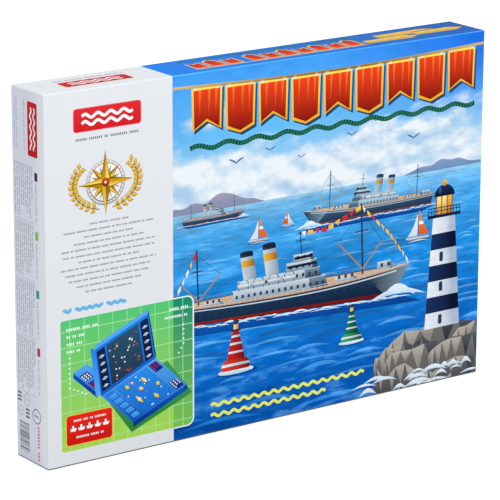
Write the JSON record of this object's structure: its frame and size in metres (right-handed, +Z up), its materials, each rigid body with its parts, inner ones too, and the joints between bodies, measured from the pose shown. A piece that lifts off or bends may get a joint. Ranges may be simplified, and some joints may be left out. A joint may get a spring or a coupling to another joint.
{
  "type": "boxed fleet guessing game",
  "caption": "Printed telescoping game carton standing on its long side, with hinged blue playing cases inside that carry peg boards, plug-in ships and marker pegs.",
  "frame": {"origin": "middle of the long narrow side that the carton stands on", "axes": "+X to the right along the printed front, +Y from the printed front to the back, +Z up"},
  "size_m": [0.39, 0.042, 0.27],
  "materials": {
    "printed_wrap": "printed paper wrap with a clear gloss varnish on grey board",
    "plain_board": "plain white-lined grey board",
    "rules_paper": "uncoated paper",
    "chart_card": "printed dark strip",
    "navy_plastic": "moulded plastic with a dark printed face",
    "blue_plastic": "moulded bright blue plastic",
    "yellow_plastic": "moulded yellow plastic",
    "white_plastic": "moulded white plastic",
    "red_plastic": "moulded red plastic"
  },
  "bodies": {
    "carton_base": {"carton_base": "plain_board", "folded_channel": "plain_board", "rules_leaflet": "rules_paper"},
    "carton_lid": {"carton_lid": "printed_wrap"},
    "left_case": {"left_battleship": "yellow_plastic", "left_carrier": "yellow_plastic", "left_case_base": "blue_plastic", "left_cruiser_1": "yellow_plastic", "left_cruiser_2": "yellow_plastic", "left_destroyer_1": "yellow_plastic", "left_destroyer_2": "yellow_plastic", "left_hinge_pins": "blue_plastic", "left_patrol_boat_1": "yellow_plastic", "left_patrol_boat_2": "yellow_plastic", "left_patrol_boat_3": "yellow_plastic", "left_patrol_boat_4": "yellow_plastic", "left_sea_board": "blue_plastic", "left_sea_red_pegs": "red_plastic", "left_sea_white_pegs": "white_plastic"},
    "left_case_lid": {"left_case_lid": "blue_plastic", "left_chart_1": "chart_card", "left_chart_2": "chart_card", "left_target_board": "navy_plastic", "left_target_red_pegs": "red_plastic", "left_target_white_pegs": "white_plastic"},
    "right_case": {"right_battleship": "yellow_plastic", "right_carrier": "yellow_plastic", "right_case_base": "blue_plastic", "right_cruiser_1": "yellow_plastic", "right_cruiser_2": "yellow_plastic", "right_destroyer_1": "yellow_plastic", "right_destroyer_2": "yellow_plastic", "right_hinge_pins": "blue_plastic", "right_patrol_boat_1": "yellow_plastic", "right_patrol_boat_2": "yellow_plastic", "right_patrol_boat_3": "yellow_plastic", "right_patrol_boat_4": "yellow_plastic", "right_sea_board": "blue_plastic", "right_sea_red_pegs": "red_plastic", "right_sea_white_pegs": "white_plastic"},
    "right_case_lid": {"right_case_lid": "blue_plastic", "right_chart_1": "chart_card", "right_chart_2": "chart_card", "right_target_board": "navy_plastic", "right_target_red_pegs": "red_plastic", "right_target_white_pegs": "white_plastic"}
  },
  "joints": [
    {"name": "carton_lid_slide", "type": "slide", "parent": "carton_base", "child": "carton_lid", "axis": [0, -1, 0], "range_m": [0, 0.4]},
    {"name": "left_case_lift", "type": "slide", "parent": "carton_base", "child": "left_case", "axis": [0, -1, 0], "range_m": [0, 0.045]},
    {"name": "left_case_hinge", "type": "hinge", "parent": "left_case", "child": "left_case_lid", "pos_m": [-0.02175, -0.0011, 0.132], "axis": [0, 0, 1], "range_deg": [0, 90]},
    {"name": "right_case_lift", "type": "slide", "parent": "carton_base", "child": "right_case", "axis": [0, -1, 0], "range_m": [0, 0.045]},
    {"name": "right_case_hinge", "type": "hinge", "parent": "right_case", "child": "right_case_lid", "pos_m": [0.02175, -0.0011, 0.132], "axis": [0, 0, -1], "range_deg": [0, 90]}
  ],
  "couplings": [
    {"joint": "left_case_lift", "follows": "carton_lid_slide", "ratio": 0.1125},
    {"joint": "left_case_hinge", "follows": "carton_lid_slide", "rad_per_m": 3.92},
    {"joint": "right_case_lift", "follows": "carton_lid_slide", "ratio": 0.1125},
    {"joint": "right_case_hinge", "follows": "carton_lid_slide", "rad_per_m": 3.92}
  ]
}
